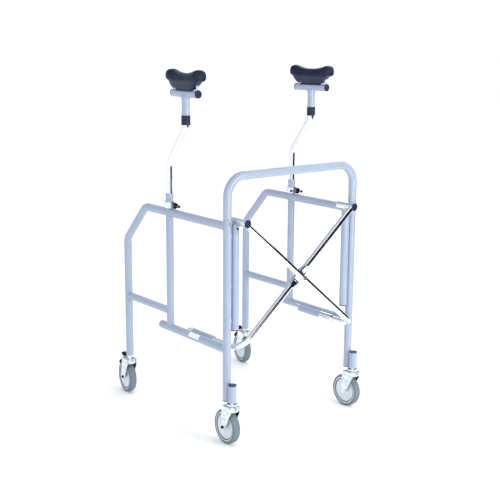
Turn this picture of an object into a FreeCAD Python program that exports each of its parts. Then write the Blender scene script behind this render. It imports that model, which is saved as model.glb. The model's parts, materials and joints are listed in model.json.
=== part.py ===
import FreeCAD
import Part
import math
import os

V = FreeCAD.Vector
X_AXIS = V(1, 0, 0)
Y_AXIS = V(0, 1, 0)
Z_AXIS = V(0, 0, 1)

# The origin lies on the floor, midway between the four legs.
# The braced front of the frame faces -Y and the user walks in from +Y.
# Every length is in millimetres.

# side frames
TUBE_R = 15.0
TUBE_BORE = 13.5
SIDE_X = 298.0
FRONT_Y = -315.0
REAR_Y = 315.0
UPRIGHT_Y = 27.0
LEG_BOTTOM = 161.0
SHOULDER_Z = 640.0
TOP_RAIL_START_Y = 183.0
TOP_RAIL_Z = 782.0
SHORT_RAIL_Z = 409.0
LOWER_RAIL_Z = 345.0
LOWER_RAIL_REAR_Y = 79.0
FRAME_BEND = 42.0
POST_HOLE_CLEAR = 0.5
LABEL_FRONT_Y = -166.0
LABEL_REAR_Y = -106.0
LABEL_THICK = 0.4
PLUG_DEPTH = 12.0
PLUG_FLANGE = 3.0
BUSH_HEIGHT = 27.0
UPRIGHT_R = 14.0
UPRIGHT_BORE = 12.5

# arch across the front
ARCH_JOINT_Z = 807.0
ARCH_Z = 951.0
ARCH_BEND = 70.0
JOINT_GAP = 0.8
SPIGOT_DEPTH = 50.0

# scissor brace
BRACE_X = 265.0
BRACE_TOP_Z = 797.0
BAR_R = 11.0
BAR_BORE = 9.5
BAR_BEND = 58.0
FRONT_BAR_Y = -372.0
BACK_BAR_Y = -349.0
RUNNING_FIT = 0.1
GUIDE_BOTTOM = 413.0
GUIDE_TOP = 783.0
GUIDE_BORE = 12.5
SLEEVE_R = 14.0
SLEEVE_FRONT_Y = -196.0
SLEEVE_REAR_Y = -76.0
BAR_END_Y = -50.0
RING_GAP = 0.5
RING_BORE = BAR_R - 0.5
SLOTTED_FRONT_Y = -262.0
SLOT_FRONT_Y = -248.0
SLOT_REAR_Y = -210.0
SLOT_DEPTH = 3.0
STUB_R = 13.0
STUB_REAR_Y = -276.0
STUB_FRONT_Y = -333.0
PIN_R = 8.0
CAP_R = 14.5
CAP_THICK = 2.5
ROD_BOTTOM = 455.0
ROD_BORE = 9.0
BOLT_R = 4.0
BOLT_HEAD_R = 7.5
CRIMP_FLAT = 22.0
CRIMP_END = 52.0
CRIMP_HALF = 7.0
CRIMP_WIDE = 14.0

# posts, heads and underarm pads
POST_R = 11.0
POST_BORE = 9.5
POST_BOTTOM = 560.0
POST_BEND_Z = 960.0
HEAD_Y = -78.0
HEAD_BEND_Z = 1100.0
POST_TOP = 1195.0
POST_BEND = 30.0
SOCKET_TOP = 853.0
CLAMP_BOTTOM = 800.0
CLAMP_TOP = 822.0
CLAMP_R = 17.5
CLAMP_SCREW_R = 3.0
CLAMP_SLOT = 2.0
KNOB_R = 11.5
KNOB_LENGTH = 14.0
KNOB_REACH = 25.0
LOBE_RADIUS = 14.5
COLLAR_BOTTOM = 1108.0
COLLAR_TOP = 1141.0
COLLAR_R = 16.0
HEAD_R = 14.0
HEAD_BORE = 12.5
HEAD_Z = 1217.0
HEAD_HALF = 72.0
HEAD_FLARE = 5.0
BRACKET_BOTTOM = HEAD_Z + 8.0
STRUT_R = 3.5
PAD_BASE_Z = 1232.5
PAD_LIP_Z = 1258.0
PAD_DIP_Z = 1263.0
PAD_HORN_Z = 1275.0
PAD_REACH = 92.0
PAD_ROLL_R = 22.0
PAD_WIDEN = 1.2

# castors
CASTOR_OFFSET = 31.0
SOCKET_HEIGHT = 61.0
WHEEL_R = 62.5
TYRE_HALF = 15.0
RIM_R = 53.0
TRAIL = 30.0
CROWN_BOTTOM = 128.5
CROWN_TOP = 147.0
CROWN_R = 23.0
ARM_IN = 18.5
ARM_OUT = 21.5
ARM_REAR_Y = 33.0
AXLE_R = 4.0
STEM_R = 5.5
NECK_R = 10.0
PEDAL_Y = 39.0
PEDAL_Z = 141.0
SHOE_GAP = 7.0
TAB_HALF = 9.0
TAB_TILT = 8.0
HINGE_R = 2.5
HINGE_HALF = 13.5
HEAD_THICK = 3.0
BOSS_R = 5.5

# Each castor: side sign, swivel axis y, and how far its wheel is turned from straight back.
CASTORS = {
    "fl": (-1, FRONT_Y - CASTOR_OFFSET, -3.0),
    "fr": (1, FRONT_Y - CASTOR_OFFSET, 2.0),
    "rl": (-1, REAR_Y, -9.0),
    "rr": (1, REAR_Y, -12.0),
}
SIDES = {"l": -1, "r": 1}

# The right post stands a little higher than the left one, and its head is turned slightly inward.
POST_LIFT = {-1: 0.0, 1: 7.0}
HEAD_TURN = {-1: 0.0, 1: 9.0}


def rod(start, end, radius):
    along = end - start
    return Part.makeCylinder(radius, along.Length, start, along)


def tube(start, end, outer, bore):
    along = end - start
    margin = along * (1.0 / along.Length)
    return rod(start, end, outer).cut(rod(start - margin, end + margin, bore))


def box(low, high):
    size = high - low
    return Part.makeBox(size.x, size.y, size.z, low)


def fuse(shapes):
    whole = shapes[0].multiFuse(shapes[1:])
    return whole.removeSplitter()


def path_wire(points, bend):
    # Straight runs joined by an arc of the given radius at every inner point.
    edges = []
    start = points[0]
    for before, corner, after in zip(points, points[1:], points[2:]):
        back = (before - corner).normalize()
        ahead = (after - corner).normalize()
        half_angle = back.getAngle(ahead) / 2
        reach = bend / math.tan(half_angle)
        to_middle = (back + ahead).normalize()
        middle = corner + to_middle * (bend / math.sin(half_angle) - bend)
        arc_start = corner + back * reach
        arc_end = corner + ahead * reach
        edges.append(Part.makeLine(start, arc_start))
        edges.append(Part.Arc(arc_start, middle, arc_end).toShape())
        start = arc_end
    edges.append(Part.makeLine(start, points[-1]))
    return Part.Wire(edges)


def bent_rod(points, bend, radius):
    wire = path_wire(points, bend)
    circle = Part.Circle(points[0], points[1] - points[0], radius).toShape()
    return wire.makePipeShell([Part.Wire(circle)], True, False)


def bent_tube(points, bend, outer, bore):
    return bent_rod(points, bend, outer).cut(bent_rod(points, bend, bore))


# --- side frames -----------------------------------------------------------


def front_leg_core(side):
    x = side * SIDE_X
    return rod(V(x, FRONT_Y, LEG_BOTTOM), V(x, FRONT_Y, ARCH_JOINT_Z), TUBE_R)


def lower_rail_core(side):
    x = side * SIDE_X
    return rod(V(x, LOWER_RAIL_REAR_Y, LOWER_RAIL_Z), V(x, FRONT_Y, LOWER_RAIL_Z), TUBE_R)


def top_rail_core(side):
    x = side * SIDE_X
    return rod(V(x, TOP_RAIL_START_Y, TOP_RAIL_Z), V(x, FRONT_Y, TOP_RAIL_Z), TUBE_R)


def rear_leg_top_rail(side):
    x = side * SIDE_X
    points = [
        V(x, REAR_Y, LEG_BOTTOM),
        V(x, REAR_Y, SHOULDER_Z),
        V(x, TOP_RAIL_START_Y, TOP_RAIL_Z),
        V(x, FRONT_Y, TOP_RAIL_Z),
    ]
    shape = bent_tube(points, FRAME_BEND, TUBE_R, TUBE_BORE)
    above = V(x, UPRIGHT_Y, TOP_RAIL_Z + 2 * TUBE_R)
    below = V(x, UPRIGHT_Y, TOP_RAIL_Z - 2 * TUBE_R)
    post_hole = rod(below, above, POST_R + POST_HOLE_CLEAR)
    return shape.cut(front_leg_core(side)).cut(post_hole)


def front_leg(side):
    x = side * SIDE_X
    return tube(V(x, FRONT_Y, LEG_BOTTOM), V(x, FRONT_Y, ARCH_JOINT_Z - JOINT_GAP), TUBE_R, TUBE_BORE)


def mid_upright(side):
    x = side * SIDE_X
    shape = tube(V(x, UPRIGHT_Y, LOWER_RAIL_Z), V(x, UPRIGHT_Y, TOP_RAIL_Z), UPRIGHT_R, UPRIGHT_BORE)
    return shape.cut(lower_rail_core(side)).cut(top_rail_core(side))


def post_socket(side):
    x = side * SIDE_X
    shape = tube(
        V(x, UPRIGHT_Y, TOP_RAIL_Z), V(x, UPRIGHT_Y, SOCKET_TOP), UPRIGHT_R, POST_R + RUNNING_FIT
    )
    return shape.cut(top_rail_core(side))


def short_rail(side):
    x = side * SIDE_X
    upright = rod(V(x, UPRIGHT_Y, LOWER_RAIL_Z), V(x, UPRIGHT_Y, TOP_RAIL_Z), UPRIGHT_R)
    rear_leg = rod(V(x, REAR_Y, LEG_BOTTOM), V(x, REAR_Y, SHOULDER_Z), TUBE_R)
    shape = tube(V(x, UPRIGHT_Y, SHORT_RAIL_Z), V(x, REAR_Y, SHORT_RAIL_Z), UPRIGHT_R, UPRIGHT_BORE)
    return shape.cut(upright).cut(rear_leg)


def lower_rail(side):
    x = side * SIDE_X
    shape = tube(
        V(x, LOWER_RAIL_REAR_Y, LOWER_RAIL_Z), V(x, FRONT_Y, LOWER_RAIL_Z), TUBE_R, TUBE_BORE
    )
    return shape.cut(front_leg_core(side))


def guide_tube(side):
    # Short weld beads hold the guide a little away from the front leg.
    x = side * BRACE_X
    shape = tube(V(x, FRONT_Y, GUIDE_BOTTOM), V(x, FRONT_Y, GUIDE_TOP), TUBE_R, GUIDE_BORE)
    parts = [shape]
    middle = side * (SIDE_X + BRACE_X) / 2
    for z in (446.0, 573.0, 745.0):
        bead = box(V(middle - 5, FRONT_Y - 4, z - 5), V(middle + 5, FRONT_Y + 4, z + 5))
        keep_out = rod(V(x, FRONT_Y, z - 9), V(x, FRONT_Y, z + 9), TUBE_R)
        parts.append(bead.cut(front_leg_core(side)).cut(keep_out))
    return fuse(parts)


def castor_socket(side):
    x = side * SIDE_X
    y = FRONT_Y - CASTOR_OFFSET
    top = LEG_BOTTOM + SOCKET_HEIGHT
    shape = tube(V(x, y, LEG_BOTTOM), V(x, y, top), TUBE_R, TUBE_BORE)
    parts = [shape]
    middle = (y + FRONT_Y) / 2
    for z in (LEG_BOTTOM + 14, top - 14):
        bead = box(V(x - 4, middle - 5, z - 6), V(x + 4, middle + 5, z + 6))
        keep_out = rod(V(x, y, z - 9), V(x, y, z + 9), TUBE_R)
        parts.append(bead.cut(front_leg_core(side)).cut(keep_out))
    return fuse(parts)


def brace_sleeve(side):
    x = side * BRACE_X
    shape = tube(
        V(x, SLEEVE_REAR_Y, LOWER_RAIL_Z), V(x, SLEEVE_FRONT_Y, LOWER_RAIL_Z), SLEEVE_R, BAR_R + RUNNING_FIT
    )
    parts = [shape]
    middle = side * (SIDE_X + BRACE_X) / 2
    for y in (SLEEVE_FRONT_Y + 12, SLEEVE_REAR_Y - 12):
        bead = box(V(middle - 6, y - 6, LOWER_RAIL_Z - 4), V(middle + 6, y + 6, LOWER_RAIL_Z + 4))
        keep_out = rod(V(x, y - 9, LOWER_RAIL_Z), V(x, y + 9, LOWER_RAIL_Z), SLEEVE_R)
        parts.append(bead.cut(lower_rail_core(side)).cut(keep_out))
    return fuse(parts)


def rail_label():
    # A blank white film wrapped over the upper outer quarter of the left lower rail.
    x = -SIDE_X
    front = V(x, LABEL_FRONT_Y, LOWER_RAIL_Z)
    rear = V(x, LABEL_REAR_Y, LOWER_RAIL_Z)
    film = tube(front, rear, TUBE_R + LABEL_THICK, TUBE_R)
    low = V(x - TUBE_R - 1, front.y, LOWER_RAIL_Z + 1)
    high = V(x - 4, rear.y, LOWER_RAIL_Z + TUBE_R + 1)
    return film.common(box(low, high))


def bored_plug(x, y, bottom):
    # Bush that carries a castor stem inside the end of a tube.
    return tube(V(x, y, bottom), V(x, y, bottom + BUSH_HEIGHT), TUBE_BORE, STEM_R + RUNNING_FIT)


def end_plug(point, outward, outer, bore):
    # Flanged stopper: the flange covers the tube end and the shank fills its bore.
    flange = rod(point, point + outward * PLUG_FLANGE, outer)
    return fuse([flange, rod(point - outward * PLUG_DEPTH, point, bore)])


def frame_plugs(side):
    x = side * SIDE_X
    socket_y = FRONT_Y - CASTOR_OFFSET
    down = Z_AXIS * -1
    plugs = [
        bored_plug(x, REAR_Y, LEG_BOTTOM),
        bored_plug(x, socket_y, LEG_BOTTOM),
        end_plug(V(x, socket_y, LEG_BOTTOM + SOCKET_HEIGHT), Z_AXIS, TUBE_R, TUBE_BORE),
        end_plug(V(x, FRONT_Y, LEG_BOTTOM), down, TUBE_R, TUBE_BORE),
        end_plug(V(x, LOWER_RAIL_REAR_Y, LOWER_RAIL_Z), Y_AXIS, TUBE_R, TUBE_BORE),
        end_plug(V(side * BRACE_X, FRONT_Y, GUIDE_BOTTOM), down, TUBE_R, GUIDE_BORE),
    ]
    return Part.makeCompound(plugs)


# --- post clamp ------------------------------------------------------------


def post_clamp(side):
    # A split ring round the post socket, with a screw boss in front and an eared nut behind.
    x = side * SIDE_X
    middle = (CLAMP_BOTTOM + CLAMP_TOP) / 2
    shape = fuse(
        [
            rod(V(x, UPRIGHT_Y, CLAMP_BOTTOM), V(x, UPRIGHT_Y, CLAMP_TOP), CLAMP_R),
            box(V(x - 7, UPRIGHT_Y - 24, middle - 8), V(x + 7, UPRIGHT_Y, middle + 8)),
            box(V(x - 5, UPRIGHT_Y, middle - 7), V(x + 5, UPRIGHT_Y + 24, middle + 7)),
            rod(V(x, UPRIGHT_Y + 24, middle - 2), V(x, UPRIGHT_Y + 29, middle - 2), 5),
            box(V(x - 2, UPRIGHT_Y + 22, middle - 2), V(x + 2, UPRIGHT_Y + 48, middle + 11)),
        ]
    )
    socket = rod(V(x, UPRIGHT_Y, CLAMP_BOTTOM - 5), V(x, UPRIGHT_Y, CLAMP_TOP + 5), UPRIGHT_R)
    screw_front = V(x, UPRIGHT_Y - 30, middle)
    screw_hole = rod(screw_front, V(x, UPRIGHT_Y, middle), CLAMP_SCREW_R + RUNNING_FIT)
    slot_low = V(x - CLAMP_SLOT / 2, UPRIGHT_Y, CLAMP_BOTTOM - 5)
    slot = box(slot_low, V(x + CLAMP_SLOT / 2, UPRIGHT_Y + 22, CLAMP_TOP + 5))
    return shape.cut(socket).cut(screw_hole).cut(slot)


def clamp_knob(side):
    # A lobed knob on a long screw that ends in a small button.
    x = side * SIDE_X
    z = (CLAMP_BOTTOM + CLAMP_TOP) / 2
    near = UPRIGHT_Y - KNOB_REACH
    far = near - KNOB_LENGTH
    button = near - 36
    shape = fuse(
        [
            rod(V(x, near, z), V(x, far, z), KNOB_R),
            rod(V(x, near + 10, z), V(x, button, z), CLAMP_SCREW_R),
            rod(V(x, button + 5, z), V(x, button, z), 5),
        ]
    )
    for turn in range(6):
        angle = math.radians(60 * turn)
        centre = V(x + LOBE_RADIUS * math.cos(angle), near + 1, z + LOBE_RADIUS * math.sin(angle))
        shape = shape.cut(rod(centre, centre - Y_AXIS * (KNOB_LENGTH + 2), 5))
    return shape


# --- arch ------------------------------------------------------------------


def arch():
    points = [
        V(-SIDE_X, FRONT_Y, ARCH_JOINT_Z),
        V(-SIDE_X, FRONT_Y, ARCH_Z),
        V(SIDE_X, FRONT_Y, ARCH_Z),
        V(SIDE_X, FRONT_Y, ARCH_JOINT_Z),
    ]
    return bent_tube(points, ARCH_BEND, TUBE_R, TUBE_BORE)


def arch_spigot():
    # The lower half drops into the left front leg.
    seat = V(-SIDE_X, FRONT_Y, ARCH_JOINT_Z)
    return fuse(
        [
            rod(seat, seat + Z_AXIS * SPIGOT_DEPTH, TUBE_BORE),
            rod(seat - Z_AXIS * SPIGOT_DEPTH, seat, TUBE_BORE - 0.4),
        ]
    )


# --- scissor brace ---------------------------------------------------------


def bar_points(side, y):
    # From the upper hub on this side to the sleeve on the other side.
    top = V(side * BRACE_X, y, BRACE_TOP_Z)
    bottom = V(-side * BRACE_X, y, LOWER_RAIL_Z)
    return [top, bottom, V(bottom.x, BAR_END_Y, LOWER_RAIL_Z)]


def hub_front(y):
    return y - BAR_R - 1


def hubbed_bar(side, y):
    # A bent tube with a cross hub at its upper end that turns on the slider pin.
    # A ring on its lower end keeps it in the sleeve.
    points = bar_points(side, y)
    end = points[-1]
    ring_front = V(end.x, SLEEVE_REAR_Y + RING_GAP, end.z)
    hub_start = V(side * BRACE_X, STUB_FRONT_Y - RING_GAP, BRACE_TOP_Z)
    hub_end = V(side * BRACE_X, hub_front(y), BRACE_TOP_Z)
    shape = fuse([bent_rod(points, BAR_BEND, BAR_R), rod(hub_start, hub_end, STUB_R)])
    shape = shape.cut(bent_rod(points, BAR_BEND, BAR_BORE).cut(rod(hub_start, hub_end, STUB_R - 2)))
    shape = fuse([shape, tube(ring_front, end, SLEEVE_R, RING_BORE)])
    return shape.cut(rod(hub_start + Y_AXIS, hub_end - Y_AXIS, PIN_R + RUNNING_FIT))


def crossing(y):
    return V(0, y, (BRACE_TOP_Z + LOWER_RAIL_Z) / 2)


def bar_front():
    # This bar also has a slotted collar just in front of its sleeve.
    middle = crossing(FRONT_BAR_Y)
    hole = rod(middle - Y_AXIS * 20, middle + Y_AXIS * 20, BOLT_R + RUNNING_FIT)
    collar_rear = V(BRACE_X, SLEEVE_FRONT_Y - RING_GAP, LOWER_RAIL_Z)
    collar_front = V(BRACE_X, SLOTTED_FRONT_Y, LOWER_RAIL_Z)
    collar = tube(collar_front, collar_rear, SLEEVE_R, RING_BORE)
    slot_low = V(BRACE_X - SLEEVE_R - 1, SLOT_FRONT_Y, LOWER_RAIL_Z - 5)
    slot_high = V(BRACE_X - SLEEVE_R + SLOT_DEPTH, SLOT_REAR_Y, LOWER_RAIL_Z - 2)
    slot = box(slot_low, slot_high)
    return fuse([hubbed_bar(-1, FRONT_BAR_Y), collar]).cut(hole).cut(slot)


def flattening(along, middle):
    # The tube is pressed flat and wide where the two bars cross: ramps to cut away, a blade to add.
    across = along.cross(Y_AXIS)

    def prism(profile, sideways, depth_axis, depth):
        corners = [middle + along * run + sideways * rise for run, rise in profile]
        face = Part.Face(Part.makePolygon(corners + corners[:1]))
        face.translate(depth_axis * -depth)
        return face.extrude(depth_axis * 2 * depth)

    slope = [(-CRIMP_END, BAR_R), (-CRIMP_FLAT, CRIMP_HALF), (CRIMP_FLAT, CRIMP_HALF), (CRIMP_END, BAR_R)]
    outside = [(CRIMP_END, BAR_R + 4), (-CRIMP_END, BAR_R + 4)]
    ramps = [prism(slope + outside, Y_AXIS * sign, across, BAR_R + 4) for sign in (1, -1)]
    shoulder = BAR_R - 3
    upper = [
        (-CRIMP_END, shoulder),
        (-CRIMP_FLAT, CRIMP_WIDE),
        (CRIMP_FLAT, CRIMP_WIDE),
        (CRIMP_END, shoulder),
    ]
    lower = [(run, -rise) for run, rise in reversed(upper)]
    blade = prism(upper + lower, across, Y_AXIS, CRIMP_HALF)
    return ramps, blade


def bar_back():
    middle = crossing(BACK_BAR_Y)
    top, bottom, _ = bar_points(1, BACK_BAR_Y)
    along = (top - bottom).normalize()
    ramps, blade = flattening(along, middle)
    core = rod(middle - along * CRIMP_END, middle + along * CRIMP_END, BAR_BORE)
    shape = fuse([hubbed_bar(1, BACK_BAR_Y), core])
    for ramp in ramps:
        shape = shape.cut(ramp)
    shape = fuse([shape, blade])
    return shape.cut(rod(middle - Y_AXIS * 20, middle + Y_AXIS * 20, BOLT_R))


def pivot_bolt():
    front = crossing(FRONT_BAR_Y - BAR_R - 0.5)
    back = crossing(BACK_BAR_Y + 7)
    return fuse(
        [
            rod(front, back, BOLT_R),
            rod(front - Y_AXIS * 4, front, BOLT_HEAD_R),
            rod(back, back + Y_AXIS * 6, BOLT_HEAD_R),
        ]
    )


def bar_cap(side, y):
    face = V(side * BRACE_X, hub_front(y), BRACE_TOP_Z)
    cap = rod(face, face - Y_AXIS * CAP_THICK, CAP_R)
    return cap.makeFillet(2, [edge for edge in cap.Edges if edge.BoundBox.YMax < face.y - 1])


def slider(side, bar_y):
    # The rod telescopes in the guide tube; its head carries the bar on a pin.
    x = side * BRACE_X
    shape = fuse(
        [
            rod(V(x, FRONT_Y, ROD_BOTTOM), V(x, FRONT_Y, BRACE_TOP_Z), BAR_R),
            rod(V(x, STUB_REAR_Y, BRACE_TOP_Z), V(x, STUB_FRONT_Y, BRACE_TOP_Z), STUB_R),
            rod(V(x, STUB_FRONT_Y, BRACE_TOP_Z), V(x, hub_front(bar_y) + 0.5, BRACE_TOP_Z), PIN_R),
        ]
    )
    return shape.cut(rod(V(x, FRONT_Y, ROD_BOTTOM - 1), V(x, FRONT_Y, GUIDE_TOP - 5), ROD_BORE))


# --- posts and underarm heads ----------------------------------------------


def post(side):
    x = side * SIDE_X
    points = [
        V(x, UPRIGHT_Y, POST_BOTTOM),
        V(x, UPRIGHT_Y, POST_BEND_Z),
        V(x, HEAD_Y, HEAD_BEND_Z),
        V(x, HEAD_Y, POST_TOP),
    ]
    shape = bent_tube(points, POST_BEND, POST_R, POST_BORE)
    shape.translate(Z_AXIS * POST_LIFT[side])
    return shape


def place_head(shape, side):
    # Raise a piece of the head with its post and turn it about the post.
    shape.rotate(V(side * SIDE_X, HEAD_Y, 0), Z_AXIS, HEAD_TURN[side])
    shape.translate(Z_AXIS * POST_LIFT[side])
    return shape


def head_tee(side):
    x = side * SIDE_X
    rear = V(x, HEAD_Y + HEAD_HALF, HEAD_Z)
    front = V(x, HEAD_Y - HEAD_HALF, HEAD_Z)
    foot = V(x, HEAD_Y, COLLAR_TOP)
    top = V(x, HEAD_Y, HEAD_Z)
    flare = Part.makeCone(HEAD_R, HEAD_R + HEAD_FLARE, HEAD_R, V(x, HEAD_Y, HEAD_Z - 22), Z_AXIS)
    inside = box(V(x - HEAD_R, front.y, HEAD_Z - 30), V(x + HEAD_R, rear.y, HEAD_Z))
    shape = fuse([rod(rear, front, HEAD_R), rod(foot, top, HEAD_R), flare.common(inside)])
    shape = shape.cut(rod(foot - Z_AXIS, V(x, HEAD_Y, POST_TOP + 2), HEAD_BORE))
    return place_head(shape.cut(rod(rear + Y_AXIS, front - Y_AXIS, HEAD_BORE)), side)


def head_trim(side):
    # Collar between post and tee, and the stoppers in the cross tube.
    x = side * SIDE_X
    collar = tube(
        V(x, HEAD_Y, COLLAR_BOTTOM), V(x, HEAD_Y, COLLAR_TOP), COLLAR_R, POST_R + RUNNING_FIT
    )
    rear = end_plug(V(x, HEAD_Y + HEAD_HALF, HEAD_Z), Y_AXIS, HEAD_R, HEAD_BORE)
    front_point = V(x, HEAD_Y - HEAD_HALF, HEAD_Z)
    front = fuse(
        [
            rod(front_point, front_point - Y_AXIS * 4, HEAD_R - 0.5),
            rod(front_point, front_point + Y_AXIS * 12, HEAD_BORE),
        ]
    )
    return place_head(Part.makeCompound([collar, rear, front]), side)


def pad_bracket(side):
    # A saddle plate on the cross tube and the strut under the front horn.
    x = side * SIDE_X
    plate = box(V(x - 12, HEAD_Y - 48, BRACKET_BOTTOM), V(x + 12, HEAD_Y + 44, PAD_BASE_Z))
    strut = rod(V(x, HEAD_Y - 67, BRACKET_BOTTOM), V(x, HEAD_Y - 67, PAD_LIP_Z - 11), STRUT_R)
    foot = box(V(x - 6, HEAD_Y - 72, BRACKET_BOTTOM), V(x + 6, HEAD_Y - 48, PAD_BASE_Z))
    tee = rod(V(x, HEAD_Y - 90, HEAD_Z), V(x, HEAD_Y + 90, HEAD_Z), HEAD_R)
    return place_head(fuse([plate, strut, foot]).cut(tee), side)


def pad_rectangle(half_x, front, rear, z):
    corners = [(-half_x, front), (half_x, front), (half_x, rear), (-half_x, rear), (-half_x, front)]
    return Part.makePolygon([V(x, y, z) for x, y in corners])


def underarm_pad(side):
    # A dished roll with raised horns stands on a narrower skirt, hollow under the front horn.
    rear = V(0, PAD_REACH, PAD_HORN_Z)
    front = V(0, -PAD_REACH, PAD_HORN_Z)
    dip = V(0, 0, PAD_DIP_Z)
    path = Part.Wire(Part.Arc(rear, dip, front).toShape())
    start = path.Edges[0]
    tangent = start.tangentAt(start.FirstParameter)
    circle = Part.Wire(Part.Circle(rear, tangent, PAD_ROLL_R).toShape())
    roll = path.makePipeShell([circle], True, False)
    ends = [Part.makeSphere(PAD_ROLL_R, point) for point in (rear, front)]
    skirt_low = pad_rectangle(13, -48, 44, PAD_BASE_Z)
    skirt_high = pad_rectangle(18, -61, 88, PAD_LIP_Z)
    skirt = Part.makeLoft([skirt_low, skirt_high], True, True)
    widen = FreeCAD.Matrix()
    widen.scale(PAD_WIDEN, 1, 1)
    shape = fuse([roll] + ends + [skirt]).transformGeometry(widen)
    shape.translate(V(side * SIDE_X, HEAD_Y, 0.2))
    return place_head(shape, side)


# --- castors (built with the swivel axis on Z and the wheel trailing to +Y) -


def turned(outline):
    # Revolve (radius, offset) pairs about the wheel axle.
    points = [V(offset, TRAIL, WHEEL_R + radius) for radius, offset in outline]
    face = Part.Face(Part.makePolygon(points + points[:1]))
    return face.revolve(V(0, TRAIL, WHEEL_R), X_AXIS, 360)


def tyre():
    shape = turned(
        [(RIM_R, -TYRE_HALF), (WHEEL_R, -TYRE_HALF), (WHEEL_R, TYRE_HALF), (RIM_R, TYRE_HALF)]
    )
    shoulders = []
    for edge in shape.Edges:
        bounds = edge.BoundBox
        if bounds.XLength < 0.1 and bounds.ZMax > 2 * WHEEL_R - 1:
            shoulders.append(edge)
    return shape.makeFillet(TYRE_HALF / 2, shoulders)


def wheel_hub():
    # A dished wheel centre with a narrow groove just inside its rim.
    half = [
        (AXLE_R + 0.06, 17.5),
        (11, 17.5),
        (13, 11),
        (20, 9),
        (44, 11.5),
        (45, 9),
        (47.5, 9),
        (48.5, 13.5),
        (RIM_R, 13.5),
    ]
    mirrored = [(radius, -offset) for radius, offset in reversed(half)]
    return turned(half + mirrored)


def fork_arm(inner, outer):
    # The rear edge drops almost straight to the axle; the front edge slopes back to it.
    outline = [
        (-18, CROWN_TOP - 3),
        (ARM_REAR_Y, CROWN_TOP - 3),
        (37, 100),
        (39, 64),
        (36, 56),
        (28, 53),
        (20, 58),
        (4, 81),
        (-6, 101),
        (-18, 123),
    ]
    points = [V(inner, y, z) for y, z in outline]
    face = Part.Face(Part.makePolygon(points + points[:1]))
    return face.extrude(V(outer - inner, 0, 0))


def castor_fork(braked):
    neck_top = LEG_BOTTOM - 0.5
    side_bolt_z = CROWN_TOP - 7
    pieces = [
        rod(V(0, 0, CROWN_BOTTOM), V(0, 0, CROWN_TOP - 3), CROWN_R),
        Part.makeCone(CROWN_R, CROWN_R - 3, 3, V(0, 0, CROWN_TOP - 3), Z_AXIS),
        rod(V(0, 0, CROWN_TOP), V(0, 0, neck_top), NECK_R),
        rod(V(0, 0, neck_top), V(0, 0, LEG_BOTTOM + 26), STEM_R),
        rod(V(0, -CROWN_R + 2, side_bolt_z), V(0, -CROWN_R - 9, side_bolt_z), BOSS_R),
        box(V(-ARM_OUT, -12, CROWN_TOP - 6), V(ARM_OUT, ARM_REAR_Y, CROWN_TOP - 3)),
        fork_arm(ARM_IN, ARM_OUT),
        fork_arm(-ARM_OUT, -ARM_IN),
        rod(V(-ARM_OUT, TRAIL, WHEEL_R), V(ARM_OUT, TRAIL, WHEEL_R), AXLE_R),
        rod(V(-ARM_OUT - HEAD_THICK, TRAIL, WHEEL_R), V(-ARM_OUT, TRAIL, WHEEL_R), BOSS_R),
        rod(V(ARM_OUT, TRAIL, WHEEL_R), V(ARM_OUT + HEAD_THICK, TRAIL, WHEEL_R), BOSS_R),
    ]
    if braked:
        for x in (-HINGE_HALF, HINGE_HALF - 2):
            ear = box(V(x, ARM_REAR_Y - 6, PEDAL_Z - 4), V(x + 2, PEDAL_Y + 5, PEDAL_Z + 4))
            pieces.append(ear)
        pin_end = V(HINGE_HALF, PEDAL_Y, PEDAL_Z)
        pieces.append(rod(V(-HINGE_HALF, PEDAL_Y, PEDAL_Z), pin_end, HINGE_R))
    else:
        pieces.append(rod(V(0, 0, CROWN_TOP + 4), V(0, 0, CROWN_TOP + 9), 19))
    return fuse(pieces)


def about_axle(x, radius, angle):
    turn = math.radians(angle)
    return V(x, TRAIL + radius * math.cos(turn), WHEEL_R + radius * math.sin(turn))


def tyre_band(half_width, inner, outer, low, high):
    # A strip that follows the tyre between two angles, counted up from the rear.
    middle = (low + high) / 2
    corners = [(inner, low), (inner, high), (outer, high), (outer, low)]
    points = [about_axle(-half_width, radius, angle) for radius, angle in corners]
    inner_arc = Part.Arc(points[0], about_axle(-half_width, inner, middle), points[1]).toShape()
    outer_arc = Part.Arc(points[2], about_axle(-half_width, outer, middle), points[3]).toShape()
    sides = [Part.makeLine(points[1], points[2]), Part.makeLine(points[3], points[0])]
    face = Part.Face(Part.Wire([inner_arc, sides[0], outer_arc, sides[1]]))
    return face.extrude(X_AXIS * 2 * half_width)


def brake_pedal():
    # A foot tab above the pivot; below it a curved lever carries the shoe round the tyre.
    pivot = V(0, PEDAL_Y, PEDAL_Z)
    tab = box(V(-TAB_HALF, PEDAL_Y + 6, PEDAL_Z + 2), V(TAB_HALF, PEDAL_Y + 29, PEDAL_Z + 10))
    web = box(V(-4, PEDAL_Y, PEDAL_Z - 2), V(4, PEDAL_Y + 20, PEDAL_Z + 3))
    tab.rotate(pivot, X_AXIS, TAB_TILT)
    inner = WHEEL_R + SHOE_GAP
    shape = fuse(
        [
            tab,
            web,
            rod(pivot - X_AXIS * 10.5, pivot + X_AXIS * 10.5, 4.5),
            tyre_band(6, inner + 7, inner + 10, 36, 78),
            tyre_band(8, inner, inner + 8, 32, 41),
        ]
    )
    pin_hole = rod(pivot - X_AXIS * HINGE_HALF, pivot + X_AXIS * HINGE_HALF, HINGE_R + RUNNING_FIT)
    return shape.cut(pin_hole)


def place_castor(shape, name):
    side, y, turn = CASTORS[name]
    shape.rotate(V(0, 0, 0), Z_AXIS, turn)
    shape.translate(V(side * SIDE_X, y, 0))
    return shape


# --- the whole walking frame -----------------------------------------------


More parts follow.
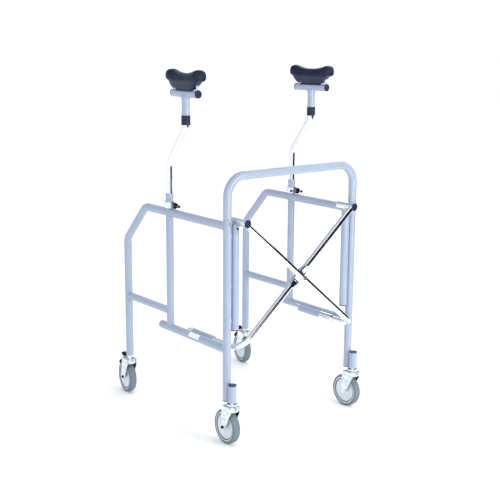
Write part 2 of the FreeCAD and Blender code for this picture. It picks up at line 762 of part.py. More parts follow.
def side_pieces():
    makers = {
        "rear_leg_top_rail": rear_leg_top_rail,
        "front_leg": front_leg,
        "mid_upright": mid_upright,
        "post_socket": post_socket,
        "short_rail": short_rail,
        "lower_rail": lower_rail,
        "guide_tube": guide_tube,
        "castor_socket": castor_socket,
        "brace_sleeve": brace_sleeve,
        "frame_plugs": frame_plugs,
        "post_clamp": post_clamp,
        "clamp_knob": clamp_knob,
        "post": post,
        "head_tee": head_tee,
        "head_trim": head_trim,
        "pad_bracket": pad_bracket,
        "underarm_pad": underarm_pad,
    }
    return {f"{name}_{tag}": make(side) for name, make in makers.items() for tag, side in SIDES.items()}


def front_pieces():
    return {
        "rail_label": rail_label(),
        "arch": arch(),
        "arch_spigot": arch_spigot(),
        "bar_front": bar_front(),
        "bar_back": bar_back(),
        "pivot_bolt": pivot_bolt(),
        "bar_cap_l": bar_cap(-1, FRONT_BAR_Y),
        "bar_cap_r": bar_cap(1, BACK_BAR_Y),
        "slider_l": slider(-1, FRONT_BAR_Y),
        "slider_r": slider(1, BACK_BAR_Y),
    }


def castor_pieces():
    pieces = {}
    for name in CASTORS:
        braked = name.startswith("r")
        pieces[f"castor_fork_{name}"] = place_castor(castor_fork(braked), name)
        pieces[f"tyre_{name}"] = place_castor(tyre(), name)
        pieces[f"wheel_hub_{name}"] = place_castor(wheel_hub(), name)
        if braked:
            pieces[f"brake_pedal_{name}"] = place_castor(brake_pedal(), name)
    return pieces


def main():
    os.makedirs("parts", exist_ok=True)
    pieces = {**side_pieces(), **front_pieces(), **castor_pieces()}
    for name, shape in pieces.items():
        shape.exportStep(f"parts/{name}.step")


main()
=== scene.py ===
import json
import math

import bmesh
import bpy
from mathutils import Matrix, Vector


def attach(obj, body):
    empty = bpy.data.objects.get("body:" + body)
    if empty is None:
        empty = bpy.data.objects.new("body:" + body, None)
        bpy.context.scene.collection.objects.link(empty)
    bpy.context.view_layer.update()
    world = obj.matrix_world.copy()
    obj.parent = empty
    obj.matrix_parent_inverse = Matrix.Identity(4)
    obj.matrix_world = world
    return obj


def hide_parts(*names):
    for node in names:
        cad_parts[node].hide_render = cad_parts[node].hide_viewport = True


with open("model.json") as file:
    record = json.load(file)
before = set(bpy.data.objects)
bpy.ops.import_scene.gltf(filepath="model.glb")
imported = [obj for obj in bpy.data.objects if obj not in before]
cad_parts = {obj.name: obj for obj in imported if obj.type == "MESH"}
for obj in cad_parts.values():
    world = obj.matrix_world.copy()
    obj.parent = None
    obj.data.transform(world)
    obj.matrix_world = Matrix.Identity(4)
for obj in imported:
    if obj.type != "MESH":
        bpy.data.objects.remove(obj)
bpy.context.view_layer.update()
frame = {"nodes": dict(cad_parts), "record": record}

# Lengths are in metres and repeat the frame's driving sizes.
SIDE_X = 0.298
FRONT_Y = -0.315
REAR_Y = 0.315
UPRIGHT_Y = 0.027
TUBE_R = 0.015
UPRIGHT_R = 0.014
TOP_RAIL_Z = 0.782
SHORT_RAIL_Z = 0.409
LOWER_RAIL_Z = 0.345
BRACE_X = 0.265
HEAD_Y = -0.078
CLAMP_Z = 0.811
TAB_LOW_Z = 0.1435
TAB_FRONT = 0.042
SHOE_TOP_Z = 0.1165
SIDES = {"l": -1, "r": 1}
HEAD_LIFT = {"l": 0.0, "r": 0.007}
HEAD_TURN = {"l": 0.0, "r": 9.0}
PLATE_FRONT = -0.0482

# Each castor: side sign, swivel axis y, and how far its wheel is turned from straight back.
CASTORS = {
    "fl": (-1, FRONT_Y - 0.031, -3.0),
    "fr": (1, FRONT_Y - 0.031, 2.0),
    "rl": (-1, REAR_Y, -9.0),
    "rr": (1, REAR_Y, -12.0),
}
TRAIL = 0.030
AXLE_HEAD_R = 0.006
WHEEL_R = 0.0625
CROWN_BOTTOM = 0.1285
ARM_IN = 0.0185
ARM_OUT = 0.0215
SLACK = 0.0005
GROOVE_IN = 0.0442
GROOVE_OUT = 0.0484


# --- material building blocks ------------------------------------------------


class Nodes:
    """A small helper around one material's node tree."""

    def __init__(self, name):
        self.material = bpy.data.materials.new(name)
        self.material.use_nodes = True
        self.tree = self.material.node_tree
        self.shader = self.tree.nodes["Principled BSDF"]
        self.place = self.add("ShaderNodeTexCoord").outputs["Object"]

    def add(self, kind, **values):
        node = self.tree.nodes.new(kind)
        for key, value in values.items():
            setattr(node, key, value)
        return node

    def link(self, source, target):
        self.tree.links.new(source, target)

    def set(self, **values):
        for key, value in values.items():
            self.shader.inputs[key.replace("_", " ")].default_value = value

    def noise(self, scale, detail=4.0, roughness=0.55, stretch=None):
        node = self.add("ShaderNodeTexNoise")
        node.inputs["Scale"].default_value = scale
        node.inputs["Detail"].default_value = detail
        node.inputs["Roughness"].default_value = roughness
        if stretch:
            mapping = self.add("ShaderNodeMapping")
            mapping.inputs["Scale"].default_value = stretch
            self.link(self.place, mapping.inputs["Vector"])
            self.link(mapping.outputs["Vector"], node.inputs["Vector"])
        else:
            self.link(self.place, node.inputs["Vector"])
        return node.outputs["Fac"]

    def cells(self, scale):
        node = self.add("ShaderNodeTexVoronoi")
        node.inputs["Scale"].default_value = scale
        self.link(self.place, node.inputs["Vector"])
        return node.outputs["Distance"]

    def ramp(self, value, stops):
        node = self.add("ShaderNodeValToRGB")
        low, high = node.color_ramp.elements
        low.position, low.color = stops[0][0], (*stops[0][1], 1)
        high.position, high.color = stops[-1][0], (*stops[-1][1], 1)
        for position, colour in stops[1:-1]:
            node.color_ramp.elements.new(position).color = (*colour, 1)
        self.link(value, node.inputs["Fac"])
        return node.outputs["Color"]

    def spread(self, value, low, high):
        node = self.add("ShaderNodeMapRange")
        node.inputs["To Min"].default_value = low
        node.inputs["To Max"].default_value = high
        self.link(value, node.inputs["Value"])
        return node.outputs["Result"]

    def bump(self, height, strength, distance, under=None):
        node = self.add("ShaderNodeBump")
        node.inputs["Strength"].default_value = strength
        node.inputs["Distance"].default_value = distance
        self.link(height, node.inputs["Height"])
        if under:
            self.link(under, node.inputs["Normal"])
        return node.outputs["Normal"]

    def finish(self, colour=None, roughness=None, normal=None):
        for name, source in (("Base Color", colour), ("Roughness", roughness), ("Normal", normal)):
            if source:
                self.link(source, self.shader.inputs[name])
        return self.material


BLUISH = (0.70, 0.80, 1.0, 1.0)


def grey(level):
    return (level, level, level)


def silver_paint():
    # Powder coat: faint orange peel, a cloudy tone and a clear top layer.
    m = Nodes("silver_paint")
    m.set(Metallic=0.12, Coat_Weight=0.30, Coat_Roughness=0.10)
    tone = m.noise(9.0, 3.0)
    colour = m.ramp(tone, [(0.3, (0.332, 0.398, 0.515)), (0.7, (0.368, 0.437, 0.560))])
    rough = m.spread(m.noise(60.0, 5.0), 0.26, 0.38)
    peel = m.bump(m.noise(900.0, 2.0), 0.06, 0.0004)
    return m.finish(colour, rough, peel)


def chrome():
    # Plated tube: mirror finish broken by faint drawing lines and wipe marks.
    m = Nodes("chrome")
    m.set(Metallic=1.0)
    wipes = m.noise(24.0, 6.0, 0.65)
    colour = m.ramp(wipes, [(0.35, (0.88, 0.90, 0.93)), (0.7, (0.93, 0.94, 0.96))])
    rough = m.spread(wipes, 0.02, 0.06)
    lines = m.bump(m.noise(40.0, 3.0, 0.5, (30.0, 30.0, 1.0)), 0.01, 0.0001)
    return m.finish(colour, rough, lines)


def chrome_dark_reflection():
    # Chrome on the clamp knobs, its colour darkened as a painted reflection of dark surroundings.
    m = Nodes("chrome_dark_reflection")
    m.set(Metallic=1.0)
    wipes = m.noise(60.0, 5.0, 0.6)
    colour = m.ramp(wipes, [(0.35, (0.10, 0.14, 0.22)), (0.7, (0.20, 0.27, 0.38))])
    rough = m.spread(wipes, 0.05, 0.16)
    return m.finish(colour, rough, m.bump(m.noise(500.0, 3.0), 0.03, 0.0002))


def zinc_plate():
    # Pressed, zinc-plated steel: crystalline mottle, faintly blue-green passivation.
    m = Nodes("zinc_plate")
    m.set(Metallic=1.0)
    mottle = m.cells(420.0)
    cloud = m.noise(70.0, 4.0)
    stops = [(0.32, (0.52, 0.60, 0.64)), (0.52, (0.80, 0.85, 0.87)), (0.8, (0.88, 0.91, 0.94))]
    colour = m.ramp(cloud, stops)
    rough = m.spread(m.noise(80.0, 5.0), 0.12, 0.30)
    grain = m.bump(mottle, 0.08, 0.0004)
    return m.finish(colour, rough, grain)


def black_plastic():
    # Moulded plastic with a spark-eroded grain and handling marks.
    m = Nodes("black_plastic")
    m.set(Specular_IOR_Level=0.45, Specular_Tint=BLUISH)
    tone = m.noise(35.0, 4.0)
    colour = m.ramp(tone, [(0.3, (0.008, 0.011, 0.030)), (0.75, (0.018, 0.022, 0.048))])
    rough = m.spread(m.noise(140.0, 4.0), 0.20, 0.38)
    grain = m.bump(m.cells(1500.0), 0.12, 0.0003)
    return m.finish(colour, rough, grain)


def rubber_and_fork_shade():
    # Matt rubber on the brake pedals; the same black is painted inside the forks as painted shade.
    m = Nodes("rubber_and_fork_shade")
    m.set(Specular_IOR_Level=0.12)
    dust = m.noise(90.0, 6.0, 0.65)
    colour = m.ramp(dust, [(0.35, (0.004, 0.006, 0.012)), (0.75, (0.010, 0.014, 0.026))])
    rough = m.spread(dust, 0.55, 0.80)
    return m.finish(colour, rough, m.bump(m.noise(420.0, 4.0), 0.12, 0.0004))


def moulded_skin(name, dark, pale):
    # Self-skinned foam: leather-like pebbles and a cloudy tone.
    m = Nodes(name)
    m.set(Specular_IOR_Level=0.30, Specular_Tint=BLUISH)
    pebble = m.cells(620.0)
    cloud = m.noise(22.0, 5.0)
    colour = m.ramp(cloud, [(0.3, dark), (0.7, pale)])
    rough = m.spread(m.noise(90.0, 5.0), 0.30, 0.48)
    soft = m.bump(m.noise(70.0, 3.0), 0.10, 0.0010)
    grain = m.bump(pebble, 0.30, 0.0005, under=soft)
    return m.finish(colour, rough, grain)


def grey_tyre():
    # Cast rubber: matt, with fine scuffs and a dusty tread.
    m = Nodes("grey_tyre")
    m.set(Specular_IOR_Level=0.35)
    dust = m.noise(48.0, 7.0, 0.7)
    colour = m.ramp(dust, [(0.3, (0.125, 0.165, 0.200)), (0.72, (0.190, 0.240, 0.285))])
    rough = m.spread(dust, 0.55, 0.78)
    scuffs = m.bump(m.noise(380.0, 5.0), 0.16, 0.0005)
    return m.finish(colour, rough, scuffs)


def white_hub():
    # Moulded nylon wheel centre with a waxy surface.
    m = Nodes("white_hub")
    m.set(Subsurface_Weight=0.08, Subsurface_Scale=0.004)
    tone = m.noise(30.0, 5.0)
    colour = m.ramp(tone, [(0.3, (0.60, 0.65, 0.68)), (0.7, (0.70, 0.74, 0.77))])
    rough = m.spread(m.noise(110.0, 4.0), 0.28, 0.46)
    flow = m.bump(m.noise(240.0, 3.0), 0.08, 0.0004)
    return m.finish(colour, rough, flow)


def label_film():
    # Printed film without any print: white, slightly wavy, with rubbed patches.
    m = Nodes("label_film")
    rub = m.noise(120.0, 5.0)
    colour = m.ramp(rub, [(0.3, (0.86, 0.88, 0.90)), (0.7, (0.93, 0.94, 0.95))])
    rough = m.spread(rub, 0.22, 0.45)
    return m.finish(colour, rough, m.bump(m.noise(60.0, 2.0), 0.08, 0.0006))


def brass():
    # Lacquered brass screw heads with a turned face.
    m = Nodes("brass")
    m.set(Metallic=1.0)
    tone = m.noise(300.0, 4.0)
    colour = m.ramp(tone, [(0.3, (0.52, 0.36, 0.12)), (0.7, (0.68, 0.50, 0.20))])
    rough = m.spread(tone, 0.22, 0.38)
    return m.finish(colour, rough, m.bump(m.noise(900.0, 3.0), 0.1, 0.0003))


def pale_floor():
    m = Nodes("pale_floor")
    tone = m.noise(3.0, 5.0)
    m.set(Specular_IOR_Level=0.0)
    colour = m.ramp(tone, [(0.3, grey(0.96)), (0.7, grey(0.98))])
    return m.finish(colour, m.spread(m.noise(14.0, 4.0), 0.55, 0.7))


MATERIALS = {
    "silver_paint": silver_paint(),
    "chrome": chrome(),
    "zinc_plate": zinc_plate(),
    "black_plastic": black_plastic(),
    "pad_skin": moulded_skin("pad_skin", (0.006, 0.009, 0.024), (0.012, 0.016, 0.036)),
    "grey_tyre": grey_tyre(),
    "white_hub": white_hub(),
    "label_film": label_film(),
}
BRASS = brass()
CHROME_DARK_REFLECTION = chrome_dark_reflection()
RUBBER_AND_FORK_SHADE = rubber_and_fork_shade()
# A grey copy of the pad skin, painted into the hub grooves as painted shade.
GROOVE_SHADE = moulded_skin("groove_shade", (0.16, 0.20, 0.24), (0.24, 0.28, 0.33))
PAD_SKIRT = moulded_skin("pad_skirt", (0.020, 0.026, 0.052), (0.032, 0.040, 0.072))


def paint_cad_nodes():
    slots = {part["node"]: part["material_slot"] for part in frame["record"]["subparts"]}
    # Second coats: rubber on the pedal tabs and shoes; painted shade inside the forks, in the hub
    # grooves and on the pad's saddle plates.
    second_coats = {
        "brake_pedal": (RUBBER_AND_FORK_SHADE, pedal_is_black),
        "castor_fork": (RUBBER_AND_FORK_SHADE, fork_shade_and_axle_head),
        "wheel_hub": (GROOVE_SHADE, hub_is_shaded),
        "pad_bracket": (MATERIALS["black_plastic"], bracket_plate_shade),
    }
    for name, node in frame["nodes"].items():
        material = MATERIALS[slots[name]]
        # The clamp knobs get chrome darkened as a painted reflection.
        if name.startswith("clamp_knob"):
            material = CHROME_DARK_REFLECTION
        if name.startswith("brake_pedal"):
            material = MATERIALS["zinc_plate"]
        for slot in node.material_slots:
            slot.material = material
        kind, _, tag = name.rpartition("_")
        if kind in second_coats:
            coat, chosen = second_coats[kind]
            coat_faces(node, coat, tag, chosen)


def coat_faces(node, material, tag, chosen):
    """Gives a second material to the faces whose centre is chosen."""
    node.data.materials.append(material)
    last = len(node.data.materials) - 1
    for face in node.data.polygons:
        if chosen(tag, node.matrix_world @ face.center):
            face.material_index = last


def castor_point(tag, point):
    """The point seen from the castor's own swivel axis, with the wheel trailing to +Y."""
    side, y, turn = CASTORS[tag]
    return Matrix.Rotation(math.radians(-turn), 3, "Z") @ (point - Vector((side * SIDE_X, y, 0)))


def pedal_is_black(tag, point):
    # Only the foot tab and the shoe are black; the lever between them is plated.
    place = castor_point(tag, point)
    tab = place.z > TAB_LOW_Z and place.y > TAB_FRONT
    return tab or place.z < SHOE_TOP_Z


def fork_shade_and_axle_head(tag, point):
    # The inside of the fork is painted black as painted shade; the outer axle head is black too.
    place = castor_point(tag, point)
    inside = abs(place.x) < ARM_IN + SLACK and place.z < CROWN_BOTTOM + SLACK
    outward = CASTORS[tag][0] * place.x
    axle_head = outward > ARM_OUT + SLACK and abs(place.z - WHEEL_R) < AXLE_HEAD_R
    return inside or axle_head


def hub_is_shaded(tag, point):
    # Painted shade in the groove just inside the rim.
    place = castor_point(tag, point)
    return GROOVE_IN < math.hypot(place.y - TRAIL, place.z - WHEEL_R) < GROOVE_OUT


def bracket_plate_shade(tag, point):
    # The saddle plate is painted black as painted shade under the pad; its foot and the strut in front
    # stay plated.
    turn = Matrix.Rotation(math.radians(-HEAD_TURN[tag]), 3, "Z")
    place = turn @ (point - Vector((SIDES[tag] * SIDE_X, HEAD_Y, 0)))
    return place.y > PLATE_FRONT


# --- mesh building blocks ----------------------------------------------------


def new_piece(name, mesh, body, slot, material=None):
    mesh.materials.append(material or MATERIALS[slot])
    mesh.polygons.foreach_set("use_smooth", [True] * len(mesh.polygons))
    piece = bpy.data.objects.new(name, mesh)
    bpy.context.scene.collection.objects.link(piece)
    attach(piece, body)
    return piece


def mesh_from(name, build):
    shape = bmesh.new()
    build(shape)
    bmesh.ops.recalc_face_normals(shape, faces=shape.faces)
    mesh = bpy.data.meshes.new(name)
    shape.to_mesh(mesh)
    shape.free()
    return mesh


def loft(shape, rings, closed=False):
    """Joins equal rings of points with quads; a closed loft joins the last ring to the first."""
    made = [[shape.verts.new(point) for point in ring] for ring in rings]
    count = len(made[0])
    pairs = list(zip(made, made[1:]))
    if closed:
        pairs.append((made[-1], made[0]))
    for first, second in pairs:
        for i in range(count):
            j = (i + 1) % count
            shape.faces.new((first[i], first[j], second[j], second[i]))
    if not closed:
        shape.faces.new(reversed(made[0]))
        shape.faces.new(made[-1])


def turned_profile(shape, centre, axis, profile, count=24):
    """Revolves (radius, distance along the axis) pairs about the axis."""
    turn = axis.to_track_quat("Z", "Y").to_matrix()
    rings = []
    for radius, reach in profile:
        ring = []
        for i in range(count):
            angle = 2 * math.pi * i / count
            local = Vector((radius * math.cos(angle), radius * math.sin(angle), reach))
            ring.append(centre + turn @ local)
        rings.append(ring)
    loft(shape, rings)


# --- weld beads --------------------------------------------------------------

BEAD_R = 0.0021
RIPPLE_HEIGHT = 0.00035
RIPPLES = 18
BEAD_STEPS = 72
BEAD_SIDES = 8


def bead_ring(shape, meet, along, across, branch_r, main_r):
    """A rippled fillet where a branch tube along one axis lands on a main tube along another."""
    side = along.cross(across)
    rings = []
    for i in range(BEAD_STEPS):
        angle = 2 * math.pi * i / BEAD_STEPS
        sideways = branch_r * math.cos(angle)
        depth = math.sqrt(max(main_r**2 - sideways**2, 0.0))
        outward = side * math.cos(angle) + across * math.sin(angle)
        centre = meet + along * depth + outward * branch_r
        thickness = BEAD_R + RIPPLE_HEIGHT * math.sin(angle * RIPPLES)
        ring = []
        for j in range(BEAD_SIDES):
            turn = 2 * math.pi * j / BEAD_SIDES
            ring.append(centre + (outward * math.cos(turn) + along * math.sin(turn)) * thickness)
        rings.append(ring)
    loft(shape, rings, closed=True)


def weld_beads(tag, side):
    x = side * SIDE_X
    forward, up = Vector((0, -1, 0)), Vector((0, 0, 1))
    # Each joint: where the two axes cross, the branch's direction, the main tube's direction, the radii.
    joints = [
        (Vector((x, FRONT_Y, TOP_RAIL_Z)), -forward, up, TUBE_R, TUBE_R),
        (Vector((x, FRONT_Y, LOWER_RAIL_Z)), -forward, up, TUBE_R, TUBE_R),
        (Vector((x, UPRIGHT_Y, LOWER_RAIL_Z)), up, forward, UPRIGHT_R, TUBE_R),
        (Vector((x, UPRIGHT_Y, TOP_RAIL_Z)), -up, forward, UPRIGHT_R, TUBE_R),
        (Vector((x, UPRIGHT_Y, TOP_RAIL_Z)), up, forward, UPRIGHT_R, TUBE_R),
        (Vector((x, UPRIGHT_Y, SHORT_RAIL_Z)), -forward, up, UPRIGHT_R, UPRIGHT_R),
        (Vector((x, REAR_Y, SHORT_RAIL_Z)), forward, up, UPRIGHT_R, TUBE_R),
    ]

    def build(shape):
        for joint in joints:
            bead_ring(shape, *joint)

    mesh = mesh_from(f"weld_beads_{tag}", build)
    return new_piece(f"weld_beads_{tag}", mesh, f"side_frame_{tag}", "silver_paint")


# --- screws ------------------------------------------------------------------

SCREW_SINK = 0.0004
LEG_SCREW_Z = 0.792
GUIDE_SCREW_Z = 0.772
LEG_SCREW_R = 0.0045
GUIDE_SCREW_R = 0.0040
CLAMP_NUT_R = 0.0050
COLLAR_SCREW_R = 0.0038
COLLAR_SCREW_Y = -0.256
COLLAR_FACE = 0.0136


def domed_screw(name, centre, axis, radius, body, slot, material=None):
    profile = [
        (radius, 0.0),
        (radius, 0.0012),
        (radius * 0.86, 0.0024),
        (radius * 0.55, 0.0031),
        (radius * 0.42, 0.0032),
        (radius * 0.36, 0.0020),
    ]
    mesh = mesh_from(name, lambda shape: turned_profile(shape, centre, axis, profile, 20))
    return new_piece(name, mesh, body, slot, material)


def frame_screws(tag, side):
    outward = Vector((0, -1, 0))
    body = f"side_frame_{tag}"
    face_y = FRONT_Y - TUBE_R + SCREW_SINK
    leg = Vector((side * SIDE_X, face_y, LEG_SCREW_Z))
    guide = Vector((side * BRACE_X, face_y, GUIDE_SCREW_Z))
    domed_screw(f"leg_screw_{tag}", leg, outward, LEG_SCREW_R, body, "zinc_plate", BRASS)
    domed_screw(f"guide_screw_{tag}", guide, outward, GUIDE_SCREW_R, body, "black_plastic")


def clamp_nut(tag, side):
    # A dark cap nut: behind the left clamp, turned toward the front on the right one.
    if side < 0:
        direction, reach, drop = Vector((0, 1, 0)), 0.0285, 0.002
    else:
        direction, reach, drop = Vector((-0.72, -0.69, 0)), 0.0168, 0.003
    centre = Vector((side * SIDE_X, UPRIGHT_Y, CLAMP_Z - drop)) + direction * reach
    body = f"side_frame_{tag}"
    domed_screw(f"clamp_nut_{tag}", centre, direction, CLAMP_NUT_R, body, "black_plastic")


def collar_screw():
    # One screw through the slotted collar on the bar's lower run.
    centre = Vector((BRACE_X - COLLAR_FACE, COLLAR_SCREW_Y, LOWER_RAIL_Z - 0.004))
    inward = Vector((-1, 0, 0))
    domed_screw("collar_screw", centre, inward, COLLAR_SCREW_R, "bar_front", "zinc_plate")


# --- underarm pads -----------------------------------------------------------

PAD_LENGTH = 0.195
PAD_WIDTH = 0.056
PAD_BASE_Z = 1.2327
PAD_LIP_Z = 1.2585
PAD_TOP_Z = 1.3005
PAD_DIP = 0.0155
ROLL_RINGS = 40
ROLL_SIDES = 28
SKIRT_SIDES = 40
VOXEL = 0.0035
SWELL_LIMIT = 0.0018
SWELL_FRAMES = 20
LINE_DEPTH = 0.0013
LINE_WIDTH = 0.0016


def pad_section(along):
    """Half width, underside height and top height of the roll at -1 (front) to 1 (rear)."""
    ends = math.sqrt(max(1 - abs(along) ** 14, 0.0))
    horn = abs(along / 0.80) ** 2.2
    dip = PAD_DIP * max(1 - horn, 0.0)
    middle = PAD_LIP_Z + 0.014
    top = middle + (PAD_TOP_Z - middle - dip) * ends
    bottom = middle - (middle - PAD_LIP_Z + 0.002) * ends
    return PAD_WIDTH / 2 * ends, bottom, top


def boxy(value, power):
    """Pushes a sine or cosine outward, so that the circle it draws turns toward a rounded box."""
    return math.copysign(abs(value) ** power, value)


def pad_roll(shape, x):
    rings = []
    for i in range(ROLL_RINGS + 1):
        along = -math.cos(math.pi * i / ROLL_RINGS)
        half, bottom, top = pad_section(along * 0.999)
        y = HEAD_Y + along * PAD_LENGTH / 2
        ring = []
        for j in range(ROLL_SIDES):
            angle = 2 * math.pi * j / ROLL_SIDES
            wide = boxy(math.cos(angle), 0.7)
            tall = boxy(math.sin(angle), 0.65)
            ring.append(Vector((x + half * wide, y, (top + bottom) / 2 + (top - bottom) / 2 * tall)))
        rings.append(ring)
    loft(shape, rings)


def pad_skirt(shape, x):
    # Height, half width, rear and front from the wide lip down to the narrow foot.
    # The front is drawn in under the horn.
    levels = [
        (PAD_LIP_Z + 0.008, 0.0225, 0.088, -0.082),
        (PAD_LIP_Z - 0.002, 0.0228, 0.086, -0.079),
        (PAD_LIP_Z - 0.007, 0.0216, 0.081, -0.074),
        (PAD_LIP_Z - 0.016, 0.0192, 0.073, -0.060),
        (PAD_BASE_Z, 0.0170, 0.065, -0.054),
    ]
    rings = []
    for z, half, rear, front in levels:
        ring = []
        for j in range(SKIRT_SIDES):
            angle = 2 * math.pi * j / SKIRT_SIDES
            wide = boxy(math.cos(angle), 0.38)
            long = boxy(math.sin(angle), 0.38)
            reach = (rear - front) / 2
            ring.append(Vector((x + half * wide, HEAD_Y + (rear + front) / 2 + reach * long, z)))
        rings.append(ring)
    loft(shape, rings)


def apply_modifiers(piece):
    graph = bpy.context.evaluated_depsgraph_get()
    mesh = bpy.data.meshes.new_from_object(piece.evaluated_get(graph))
    piece.modifiers.clear()
    piece.data = mesh


def remesh(piece, size):
    modifier = piece.modifiers.new("even", "REMESH")
    modifier.mode = "VOXEL"
    modifier.voxel_size = size
    apply_modifiers(piece)


def swell(piece, cap):
    """Plumps the pad with cloth pressure; no point moves further than the cap."""
    rest = [vertex.co.copy() for vertex in piece.data.vertices]
    cloth = piece.modifiers.new("plump", "CLOTH")
    cloth.settings.use_pressure = True
    cloth.settings.uniform_pressure_force = 4.0
    cloth.settings.effector_weights.gravity = 0.0
    cloth.settings.quality = 6
    scene = bpy.context.scene
    for number in range(1, SWELL_FRAMES + 1):
        scene.frame_set(number)
    apply_modifiers(piece)
    scene.frame_set(1)
    for vertex, start in zip(piece.data.vertices, rest):
        move = vertex.co - start
        if vertex.co.z < PAD_LIP_Z - 0.006:
            vertex.co = start
        elif move.length > cap:
            vertex.co = start + move.normalized() * cap


def press_lip(piece):
    # The moulded parting line: a narrow groove all round under the roll.
    normals = [vertex.normal.copy() for vertex in piece.data.vertices]
    for vertex, normal in zip(piece.data.vertices, normals):
        depth = LINE_DEPTH * math.exp(-(((vertex.co.z - PAD_LIP_Z) / LINE_WIDTH) ** 2))
        flat = Vector((normal.x, normal.y, 0))
        vertex.co -= flat * depth


def smooth(piece, factor, times):
    modifier = piece.modifiers.new("smooth", "SMOOTH")
    modifier.factor = factor
    modifier.iterations = times
    apply_modifiers(piece)


def refine(piece):
    modifier = piece.modifiers.new("fine", "SUBSURF")
    modifier.levels = modifier.render_levels = 1
    apply_modifiers(piece)
    piece.data.polygons.foreach_set("use_smooth", [True] * len(piece.data.polygons))


def coat_skirt(piece):
    # Everything below the parting line is a little paler than the roll.
    piece.data.materials.append(PAD_SKIRT)
    for face in piece.data.polygons:
        if face.center.z < PAD_LIP_Z - SLACK:
            face.material_index = 1


def place_on_head(piece, tag, x):
    # Lift the pad with its post and turn it about the post.
    turn = Matrix.Rotation(math.radians(HEAD_TURN[tag]), 4, "Z")
    post_axis = Matrix.Translation((x, HEAD_Y, 0))
    lift = Matrix.Translation((0, 0, HEAD_LIFT[tag]))
    piece.data.transform(lift @ post_axis @ turn @ post_axis.inverted())


def underarm_pad(tag, side):
    x = side * SIDE_X

    def build(shape):
        pad_roll(shape, x)
        pad_skirt(shape, x)

    mesh = mesh_from(f"pad_{tag}", build)
    piece = new_piece(f"pad_{tag}", mesh, f"head_{tag}", "pad_skin")
    remesh(piece, VOXEL)
    smooth(piece, 0.5, 4)
    swell(piece, SWELL_LIMIT)
    smooth(piece, 0.5, 2)
    press_lip(piece)
    refine(piece)
    coat_skirt(piece)
    place_on_head(piece, tag, x)
    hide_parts(f"underarm_pad_{tag}")
    return piece


# --- stage -------------------------------------------------------------------

FLOOR_REACH = 90.0
FLOOR_Z = -0.0005
WALL_DISTANCE = 2.0
WALL_WIDTH = 0.86

# Where each panel of the dark wall stands, counted from +X, and how high it is.
WALL_PANELS = ((-78, 2.1), (-54, 2.1), (-30, 1.1), (-6, 1.1))

# The view: its direction, roll, aim point, distance and focal length.
CAMERA_AZIMUTH = -39.46
CAMERA_ELEVATION = 12.38
CAMERA_ROLL = 0.46
CAMERA_TARGET = Vector((-0.0598, -0.1477, 0.640))
CAMERA_DISTANCE = 3.602
CAMERA_LENS = 70.04


def stage_plane(name, corners, material):
    mesh = bpy.data.meshes.new(name)
    mesh.from_pydata(corners, [], [(0, 1, 2, 3)])
    mesh.materials.append(material)
    piece = bpy.data.objects.new(name, mesh)
    bpy.context.scene.collection.objects.link(piece)
    return piece


def floor():
    turns = ((-1, -1), (1, -1), (1, 1), (-1, 1))
    corners = [(FLOOR_REACH * x, FLOOR_REACH * y, FLOOR_Z) for x, y in turns]
    stage_plane("floor", corners, pale_floor())


def card_material(name, low, high):
    m = Nodes(name)
    m.set(Specular_IOR_Level=0.0)
    return m.finish(m.ramp(m.noise(0.6, 2.0), [(0.3, low), (0.7, high)]))


def mirrored_only(piece):
    piece.visible_camera = False
    piece.visible_diffuse = False
    piece.visible_shadow = False


def card(name, direction, distance, width, bottom, top, material):
    """An upright card that only mirrors see, so that the plated tubes have something dark in them."""
    out = Vector((direction[0], direction[1], 0)).normalized()
    along = Vector((-out.y, out.x, 0)) * (width / 2)
    foot = out * distance + Vector((0, 0, bottom))
    rise = Vector((0, 0, top - bottom))
    corners = [foot - along, foot + along, foot + along + rise, foot - along + rise]
    mirrored_only(stage_plane(name, corners, material))


def cards():
    dark = card_material("dark_card", (0.004, 0.009, 0.024), (0.010, 0.018, 0.036))
    middling = card_material("grey_card", (0.26, 0.29, 0.33), (0.36, 0.39, 0.43))
    # A dark wall curves round the front right, taller toward the front.
    for number, (azimuth, top) in enumerate(WALL_PANELS):
        turn = math.radians(azimuth)
        direction = (math.cos(turn), math.sin(turn))
        card(f"card_wall_{number}", direction, WALL_DISTANCE, WALL_WIDTH, 0.0, top, dark)
    card("card_rear", (0.62, 0.76), 4.0, 6.0, 0.0, 2.2, middling)
    ceiling = [Vector(point) for point in ((-2, -0.4, 2.8), (2, -0.4, 2.8), (2, 3, 2.8), (-2, 3, 2.8))]
    mirrored_only(stage_plane("card_ceiling", ceiling, middling))
    # A dark flag high in front keeps light off the forward slope of the arch.
    flag = [(-1.4, -2.7, 1.7), (2.0, -2.7, 1.7), (2.0, -2.2, 3.4), (-1.4, -2.2, 3.4)]
    stage_plane("flag", flag, dark).visible_camera = False


def soft_light(name, place, target, size, power):
    data = bpy.data.lights.new(name, "AREA")
    data.shape = "RECTANGLE"
    data.size, data.size_y = size
    data.energy = power
    light = bpy.data.objects.new(name, data)
    light.location = place
    light.rotation_euler = (Vector(target) - Vector(place)).to_track_quat("-Z", "Y").to_euler()
    bpy.context.scene.collection.objects.link(light)


def studio():
    centre = (0, 0, 0.7)
    soft_light("key", (0.5, -2.2, 1.1), centre, (0.6, 1.6), 30)
    soft_light("fill", (-3.2, -2.0, 2.6), centre, (2.6, 2.0), 16)
    soft_light("rim", (3.2, 2.4, 3.0), centre, (2.0, 2.6), 30)


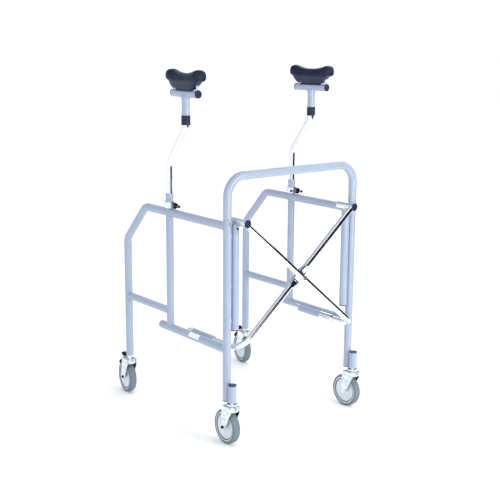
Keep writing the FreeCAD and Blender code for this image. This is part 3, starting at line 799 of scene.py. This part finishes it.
def pale_world():
    # White behind the frame, dimmer on the camera's left and brighter on its right.
    world = bpy.data.worlds.new("pale")
    bpy.context.scene.world = world
    world.use_nodes = True
    tree = world.node_tree
    back = tree.nodes["Background"]
    place = tree.nodes.new("ShaderNodeTexCoord")
    across = tree.nodes.new("ShaderNodeVectorMath")
    across.operation = "DOT_PRODUCT"
    across.inputs[1].default_value = (0.77, -0.64, 0.0)
    spread = tree.nodes.new("ShaderNodeMapRange")
    spread.inputs["From Min"].default_value = -1.0
    ramp = tree.nodes.new("ShaderNodeValToRGB")
    stops = ramp.color_ramp.elements
    stops[0].position, stops[0].color = 0.0, (0.50, 0.56, 0.66, 1)
    stops[1].position, stops[1].color = 1.0, (1.0, 1.0, 1.0, 1)
    stops.new(0.42).color = (0.88, 0.89, 0.91, 1)
    tree.links.new(place.outputs["Generated"], across.inputs[0])
    tree.links.new(across.outputs["Value"], spread.inputs["Value"])
    tree.links.new(spread.outputs["Result"], ramp.inputs["Fac"])
    tree.links.new(ramp.outputs["Color"], back.inputs["Color"])
    back.inputs["Strength"].default_value = 1.25


def camera():
    azimuth = math.radians(CAMERA_AZIMUTH)
    elevation = math.radians(CAMERA_ELEVATION)
    roll = math.radians(CAMERA_ROLL)
    back = Vector(
        (
            math.sin(azimuth) * math.cos(elevation),
            -math.cos(azimuth) * math.cos(elevation),
            math.sin(elevation),
        )
    )
    right = Vector((math.cos(azimuth), math.sin(azimuth), 0))
    up = back.cross(right)
    tilted_right = right * math.cos(roll) + up * math.sin(roll)
    tilted_up = up * math.cos(roll) - right * math.sin(roll)
    data = bpy.data.cameras.new("camera")
    data.sensor_width = 36.0
    data.lens = CAMERA_LENS
    view = bpy.data.objects.new("camera", data)
    turn = Matrix((tilted_right, tilted_up, back)).transposed().to_4x4()
    view.matrix_world = Matrix.Translation(CAMERA_TARGET + back * CAMERA_DISTANCE) @ turn
    bpy.context.scene.collection.objects.link(view)
    bpy.context.scene.camera = view


# --- the scene ---------------------------------------------------------------

paint_cad_nodes()
for side_tag, side_sign in SIDES.items():
    weld_beads(side_tag, side_sign)
    frame_screws(side_tag, side_sign)
    clamp_nut(side_tag, side_sign)
    underarm_pad(side_tag, side_sign)
collar_screw()
floor()
cards()
studio()
pale_world()
camera()
bpy.context.scene.view_settings.view_transform = "Standard"
